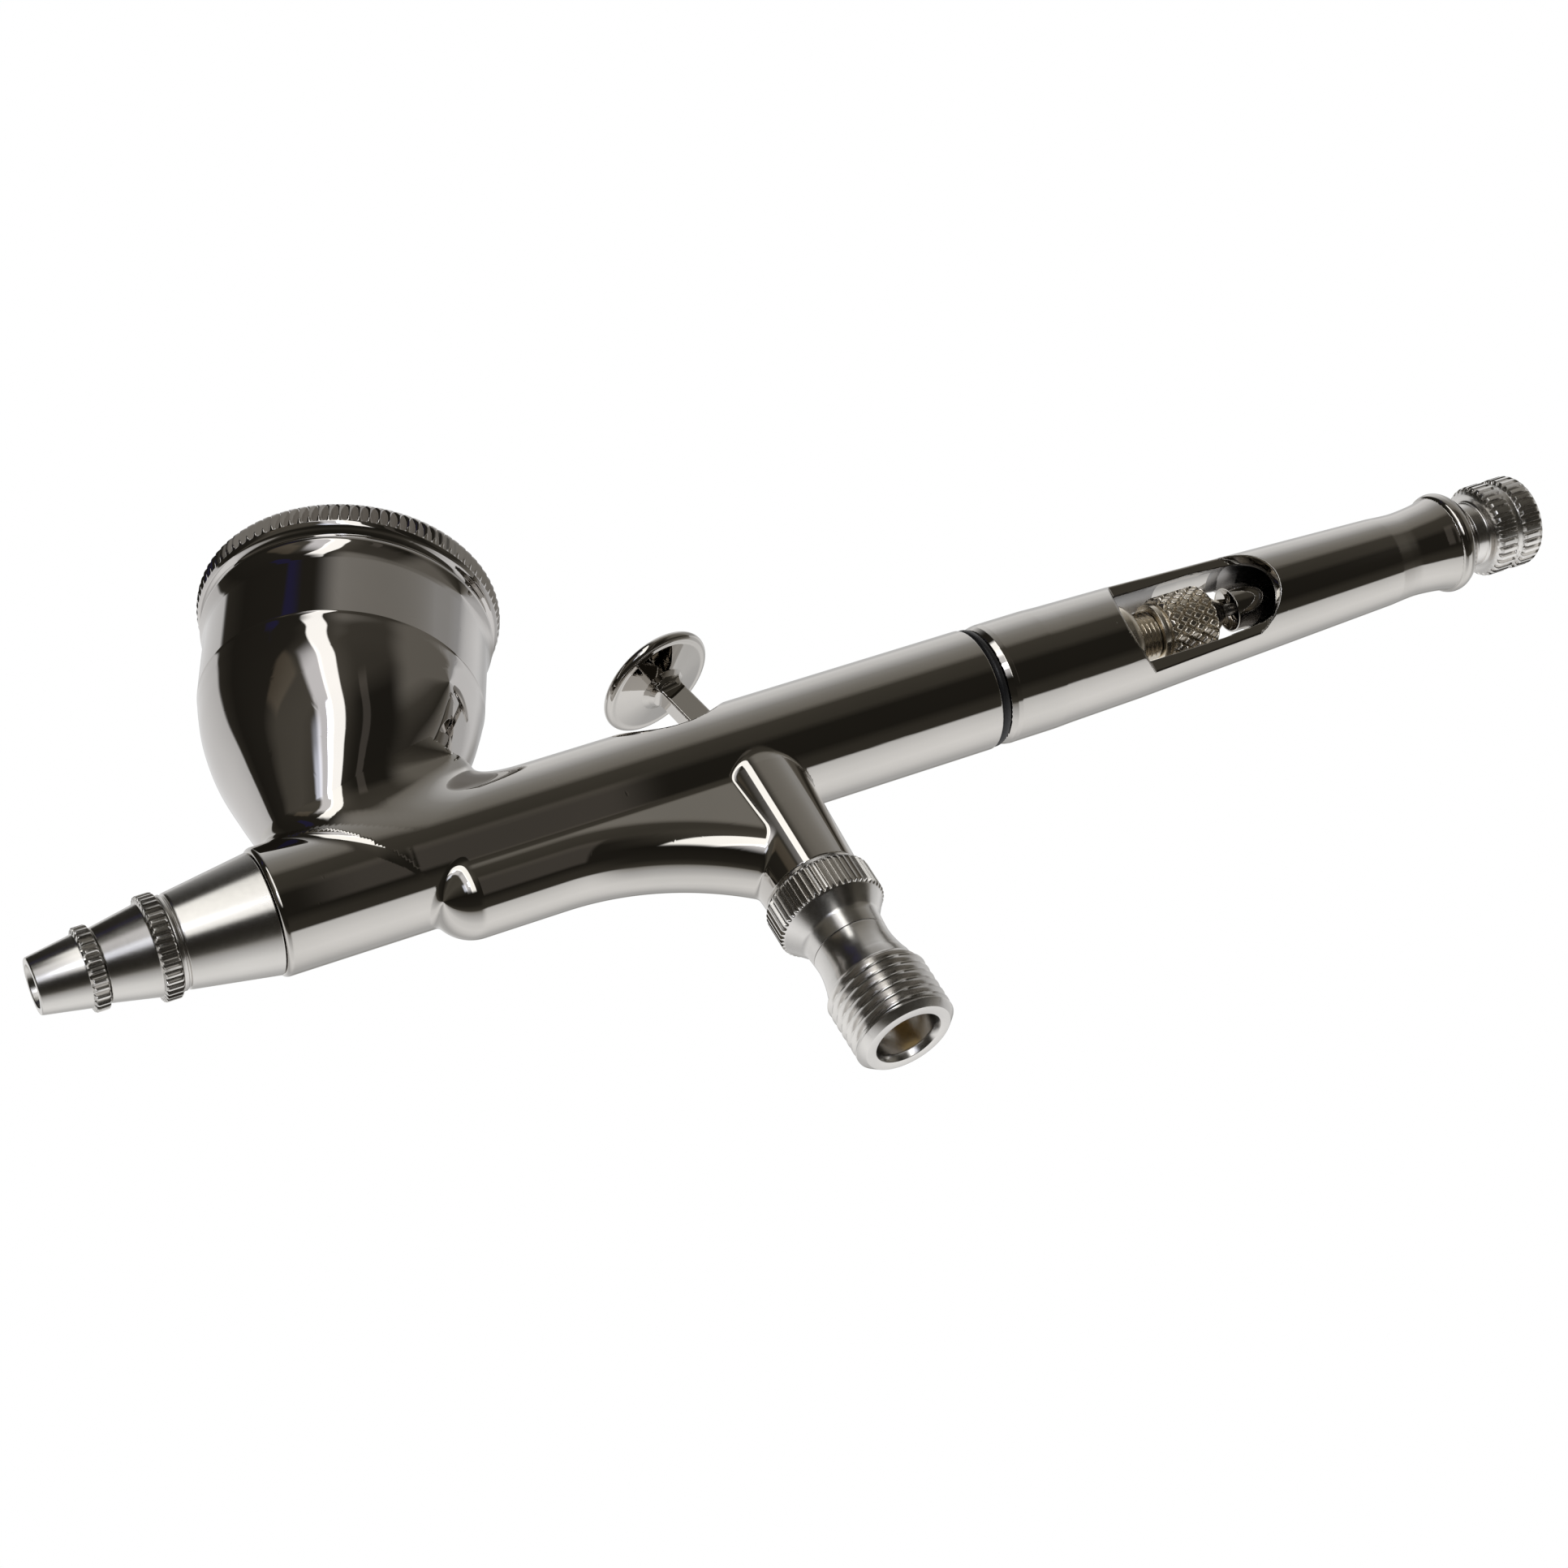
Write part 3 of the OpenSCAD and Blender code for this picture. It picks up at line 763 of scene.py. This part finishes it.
place(
    turned(
        "Head",
        [
            (1.32, -59.28), (3.6, -59.28), (3.6, -55.88), (4.4, -55.8, 0.1), (4.4, -55.38, 0.08),
            (4.22, -55.32), (4.22, -55.16), (4.4, -55.1, 0.08), (4.46, -54.8), (5.68, -46.97, 0.1),
            (4.6, -46.95), (4.6, -43.5), (1.32, -43.5),
        ],
        "barrel",
    ),
    "root", "chrome", ["head"], CHROME_HEAD,
)
place(
    turned(
        "Needle",
        [(0, -65.9), (0.05, -65.75), (0.3, -62.5), (0.6, -58), (0.6, 61.2), (0.4, 61.5), (0, 61.5)],
        "barrel", sides=48, radius=0.03,
    ),
    "needle_set", "steel", ["needle"], STEEL,
)
place(
    turned(
        "NeedleGuide",
        [
            (0.61, 3), (2.4, 3), (2.4, 5), (1.9, 5.4), (1.9, 12), (2.9, 12.1), (2.9, 13.8), (1.9, 14),
            (1.9, 43.7), (2.5, 43.9, 0.02), (2.5, 46.2, 0.02), (1.9, 46.28), (1.9, 50), (0.61, 50.6),
        ],
        "barrel", sides=96, radius=0.1, dense=(43.6, 46.4, 0.05),
        cut=thread(0.5, 2.5, 0.36, 43.8, 46.3, 0.1),
    ),
    "needle_set", "nickel", ["needle_guide"], NICKEL,
)
place(
    turned(
        "ChuckNut",
        [
            (1.93, 46.32), (3.0, 46.32, 0.1), (3.05, 46.9, 0.1), (2.8, 47.0), (2.8, 47.1),
            (3.2, 47.2, 0.1), (3.4, 47.5, 0.1), (3.4, 52.2, 0.1), (3.1, 52.55, 0.1), (2.6, 52.7, 0.1),
            (1.35, 54.2, 0.2), (1.03, 54.66, 0.1), (0.62, 54.66), (0.62, 50.7), (1.93, 50.1),
        ],
        "barrel", sides=CHUCK_DIAMONDS * 16, dense=(47.1, 52.6, 0.07),
        cut=diamond_teeth(CHUCK_DIAMONDS, 3.4, 0.36, 47.1, 52.65, 1.5),
    ),
    "needle_set", "nickel", ["chuck_nut"], NICKEL,
)
place(
    turned(
        "SpringCase",
        [
            (3.2, 11), (4.28, 11), (4.28, 19.2), (3.9, 19.6), (3.9, 43, 0.2), (3.6, 43.58, 0.15),
            (1.95, 43.58, 0.1), (1.95, 41), (3.2, 41),
        ],
        "barrel", sides=128,
    ),
    "root", "nickel", ["spring_case"], NICKEL,
)
seal_section = [
    (5.4 + 0.5 * math.sin(a), 26.35 - 0.5 * math.cos(a)) for a in np.arange(0, 6.28, 0.26)
]
place(
    turned("HandleSeal", seal_section, "barrel"),
    "root", "black_rubber", ["handle_seal"], RUBBER,
)
place(
    turned(
        "StopKnob",
        [
            (0, 67), (1.3, 67), (1.5, 67.2), (1.5, 80), (2.6, 80), (2.6, 84.5), (3.3, 84.5, 0.1),
            (3.3, 85.95, 0.25), (4.0, 86.1, 0.2), (4.55, 86.4, 0.2), (4.75, 86.72, 0.08),
            (4.75, 88.5, 0.08), (4.3, 88.7, 0.08), (4.3, 89.4, 0.08), (4.76, 89.6, 0.08),
            (4.77, 91.35, 0.12), (4.5, 91.8, 0.2), (3.9, 92.1, 0.3), (2, 92.18), (0, 92.19),
        ],
        "barrel", sides=KNOB_TEETH * 14, dense=(86.4, 91.95, 0.25),
        cut=straight_teeth(KNOB_TEETH, 4.77, 0.42, 86.3, 91.95, flat=0.46, floor=0.34),
    ),
    "knob", "chrome", ["stop_knob"], CHROME_KNURL_PAINTED_BRIGHT,
)
place(
    turned(
        "StopSleeve",
        [
            (2.15, 55.5, 0.1), (2.3, 55.5, 0.05), (2.3, 71.8), (3.1, 72), (3.1, 75), (1.55, 75),
            (1.55, 64), (1.25, 63.8), (1.25, 57.6, 0.4), (1.5, 56.4, 0.3),
        ],
        "barrel", sides=96,
    ),
    "stop", "chrome", ["stop_sleeve"], CHROME,
)
place(
    turned(
        "ValveBody",
        [
            (2.9, 11.05), (3.7, 11.05, 0.03), (3.8, 12.3, 0.2), (3.9, 12.75, 0.3), (4.45, 13.55),
            (4.98, 14.3, 0.1), (5.3, 14.55, 0.12), (5.3, 17.45, 0.15), (5.0, 17.75, 0.1),
            (4.8, 18.2, 0.05), (3.58, 18.2), (3.58, 22.5), (1.5, 22.5), (1.5, 20), (2.2, 20),
            (2.2, 14.5), (2.9, 14.5),
        ],
        "valve", sides=VALVE_RING_TEETH * 8, dense=(14.4, 17.8, 0.4),
        cut=straight_teeth(VALVE_RING_TEETH, 5.3, 0.36, 14.35, 17.7, flat=0.25, floor=0.1),
    ),
    "root", "chrome", ["valve_body"], CHROME_KNURL_PAINTED_BRIGHT,
)
place(
    turned(
        "HoseConnector",
        [
            (3.24, 0.01, 0.06), (4.2, 0.01, 0.06), (4.86, 0.66, 0.05), (4.86, 6.3, 0.1),
            (4.3, 6.75, 0.2), (4.2, 7.5, 0.3),
            *spline([(4.05, 7.95), (3.86, 8.8), (3.72, 9.7), (3.68, 10.4), (3.7, 11)], 5),
            (2.88, 11), (2.88, 14.4), (2.2, 14.4), (2.2, 6.05, 0.1), (2.95, 5.4, 0.1), (3.0, 5.2),
            (3.0, 0.65, 0.1),
        ],
        "valve", sides=192, dense=(0.6, 6.4, 0.07),
        cut=thread(HOSE_PITCH, 4.86, 0.52, 0.62, 6.6, 0.35),
    ),
    "root", "chrome", ["hose_connector"], CHROME_KNURL_PAINTED_BRIGHT,
)

INNER_MATERIALS = {
    "fluid_nozzle": BRASS, "head_seal": PLASTIC, "needle_packing": PLASTIC, "packing_screw": BRASS,
    "auxiliary_lever": CHROME, "lever_pin": STEEL, "needle_spring": STEEL, "stop_seal": RUBBER,
    "valve_piston": BRASS, "plug_seal": RUBBER, "rod_packing": PLASTIC, "valve_spring": STEEL,
    "valve_guide": BRASS, "valve_gasket": RUBBER,
}
for node_name, material in INNER_MATERIALS.items():
    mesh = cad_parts[node_name].data
    mesh.materials.clear()
    mesh.materials.append(material)


# ---- Studio ----

# Brightness of the room in degrees round the barrel's axis, up from +Y towards +Z, for reflections
# that leave to the nozzle, to the side and to the tail. It follows the tones on the photo's chrome.
ROOM_AT_NOZZLE = [
    (0, 0.52), (12, 0.56), (30, 0.86), (48, 0.78), (69, 0.64), (72, 0.03), (90, 0.015), (140, 0.02),
    (160, 0.07), (180, 0.08), (200, 0.04), (216, 0.012), (248, 0.02), (262, 0.05), (266, 0.3),
    (276, 0.52), (300, 0.86), (324, 0.93), (340, 0.8), (352, 0.62), (360, 0.52),
]
ROOM_AT_SIDE = [
    (0, 0.5), (6, 0.47), (16, 0.3), (28, 0.5), (46, 0.6), (64, 0.62), (76, 0.86), (98, 0.74),
    (112, 0.52), (124, 0.325), (136, 0.25), (150, 0.19), (160, 0.055), (184, 0.045), (196, 0.016),
    (232, 0.015), (246, 0.035), (260.5, 0.04), (263.5, 0.72), (272, 0.8), (284, 0.9), (304, 0.98),
    (316, 0.93), (328, 0.84), (340, 0.68), (352, 0.53), (360, 0.5),
]
ROOM_AT_TAIL = [
    (0, 0.6), (12, 0.78), (36, 0.8), (50, 0.65), (62, 0.4), (90, 0.34), (120, 0.34), (140, 0.24),
    (160, 0.15), (200, 0.15), (216, 0.06), (240, 0.03), (264, 0.16), (288, 0.34), (312, 0.52),
    (336, 0.6), (360, 0.6),
]
# Lamps and faint shapes in the room: middle and half size in degrees round the axis, middle and
# half size along it (-1 is straight to the nozzle), softness of the edge, and added colour
ROOM_SHAPES = [
    ((176, 37), (-0.11, 0.1), 0.12, (1.5, 1.5, 1.47)),
    ((182, 26), (-0.29, 0.1), 0.35, (0.75, 0.75, 0.78)),
    ((197, 9), (-0.42, 0.06), 0.5, (0.8, 0.85, 1.0)),
    ((192, 5), (-0.22, 0.03), 0.5, (9.0, 9.5, 11.0)),
    ((60, 12), (0.02, 0.16), 0.2, (-0.4, -0.4, -0.4)),
    ((122, 4), (-0.3, 0.16), 0.3, (0.0, 0.0, 0.035)),
    ((206, 22), (0.28, 0.05), 0.2, (0.05, 0.045, 0.04)),
    ((150, 9), (-0.62, 0.16), 0.25, (0.05, 0.04, 0.028)),
]
WARM_BELOW = 0.4  # brightness under which the room's colour turns warm


def make_world():
    """A room that changes round the barrel's axis and along it, with plain white behind."""
    world = bpy.data.worlds.new("room")
    bpy.context.scene.world = world
    world.use_nodes = True
    tree = world.node_tree
    tree.nodes.clear()

    def add(kind, inputs=(), **settings):
        node = tree.nodes.new(kind)
        for key, value in settings.items():
            setattr(node, key, value)
        for key, value in dict(inputs).items():
            if isinstance(value, bpy.types.NodeSocket):
                tree.links.new(value, node.inputs[key])
            else:
                node.inputs[key].default_value = value
        return node

    def calc(operation, one, two=0.0):
        return add("ShaderNodeMath", {0: one, 1: two}, operation=operation).outputs[0]

    def smooth(value, low, high, to_low=0.0, to_high=1.0):
        inputs = dict(zip(RANGE_INPUTS, (value, low, high, to_low, to_high)))
        return add("ShaderNodeMapRange", inputs, interpolation_type="SMOOTHSTEP").outputs[0]

    def ramp(levels):
        node = add("ShaderNodeValToRGB", {0: turn})
        stops = node.color_ramp.elements
        stops.remove(stops[-1])
        for n, (degrees, level) in enumerate(levels):
            stop = stops[0] if n == 0 else stops.new(degrees / 360)
            stop.position = degrees / 360
            warm = max(0.0, 1 - level / WARM_BELOW)
            stop.color = (level * (1 + 0.12 * warm), level, level * (1 - 0.22 * warm), 1)
        return node.outputs[0]

    def mixed(share, one, two, blend_type="MIX"):
        node = add("ShaderNodeMix", {0: share}, data_type="RGBA", blend_type=blend_type)
        for socket, value in ((node.inputs[6], one), (node.inputs[7], two)):
            if isinstance(value, bpy.types.NodeSocket):
                tree.links.new(value, socket)
            else:
                socket.default_value = value
        return node.outputs[2]

    split = add("ShaderNodeSeparateXYZ", {0: add("ShaderNodeTexCoord").outputs["Generated"]})
    along = split.outputs["X"]
    angle = calc("ARCTAN2", split.outputs["Z"], split.outputs["Y"])
    turn = calc("FRACT", calc("DIVIDE", angle, 2 * math.pi))
    colour = mixed(smooth(along, -0.02, 0.24), ramp(ROOM_AT_NOZZLE), ramp(ROOM_AT_SIDE))
    colour = mixed(smooth(along, 0.58, 0.8), colour, ramp(ROOM_AT_TAIL))
    for (middle, half), (middle_along, half_along), soft, extra in ROOM_SHAPES:
        across = calc("ABSOLUTE", calc("SUBTRACT", turn, middle / 360))
        lengthways = calc("ABSOLUTE", calc("SUBTRACT", along, middle_along))
        one = smooth(across, half / 360 * (1 - soft), half / 360 * (1 + soft), 1, 0)
        two = smooth(lengthways, half_along * (1 - soft), half_along * (1 + soft), 1, 0)
        colour = mixed(calc("MULTIPLY", one, two), colour, mixed(1.0, colour, (*extra, 1), "ADD"))
    room = add("ShaderNodeBackground", {0: colour})
    backdrop = add("ShaderNodeBackground", {0: (1, 1, 1, 1)})
    seen = add("ShaderNodeLightPath").outputs["Is Camera Ray"]
    either = add("ShaderNodeMixShader", {0: seen, 1: room.outputs[0], 2: backdrop.outputs[0]})
    add("ShaderNodeOutputWorld", {0: either.outputs[0]})


def make_floor():
    """A wide pale sheet under the object that shows only from above."""
    half = 900
    z = CAD_BOX[0].z / MM - 1.5
    corners = [(-half, -half, z), (half, -half, z), (half, half, z), (-half, half, z)]
    floor = add_object("Floor", corners, [(0, 1, 2, 3)])
    n = Nodes("pale_floor")
    tone = n.ranged(n.noise(14, 4), 0.3, 0.7, 0, 1)
    colour = n.mix(tone, (0.82, 0.82, 0.81, 1), (0.87, 0.87, 0.86, 1))
    n.surface(
        Base_Color=colour, Roughness=0.7, Emission_Color=(1, 1, 1, 1), Emission_Strength=0.32,
        Normal=n.bump(n.noise(900, 3), 0.0001, 0.3),
    )
    clear = n.add("ShaderNodeBsdfTransparent")
    back = n.add("ShaderNodeNewGeometry").outputs["Backfacing"]
    both = n.add("ShaderNodeMixShader", {0: back, 1: n.shader.outputs[0], 2: clear.outputs[0]})
    n.tree.links.new(both.outputs[0], n.tree.nodes["Material Output"].inputs[0])
    floor.data.materials.append(n.material)
    floor.visible_glossy = False
    floor.visible_diffuse = False
    floor.visible_shadow = False
    floor.visible_transmission = False


CAMERA_AT = Vector((-106.23, -221.98, -129.18))
# Azimuth, elevation and roll in degrees
CAMERA_ANGLES = (-26.2375, -32.8216, 32.7012)
CAMERA_LENS = 72.139
CAMERA_SENSOR = 36.0


def make_camera():
    """The photograph's view: from below the nozzle side, rolled so that the tail points up."""
    azimuth, elevation, roll = (math.radians(a) for a in CAMERA_ANGLES)
    back = Vector(
        (
            math.sin(azimuth) * math.cos(elevation),
            -math.cos(azimuth) * math.cos(elevation),
            math.sin(elevation),
        )
    )
    level = Vector((math.cos(azimuth), math.sin(azimuth), 0))
    up = back.cross(level)
    right = level * math.cos(roll) - up * math.sin(roll)
    up = back.cross(right)
    camera = bpy.data.cameras.new("Camera")
    camera.lens, camera.sensor_width = CAMERA_LENS, CAMERA_SENSOR
    camera.clip_start, camera.clip_end = 0.01, 10
    seen_from = bpy.data.objects.new("Camera", camera)
    turn = Matrix((right, up, back)).transposed().to_4x4()
    seen_from.matrix_world = Matrix.Translation(CAMERA_AT * MM) @ turn
    bpy.context.scene.collection.objects.link(seen_from)
    bpy.context.scene.camera = seen_from


make_world()
make_floor()
make_camera()
bpy.context.scene.view_settings.view_transform = "Standard"
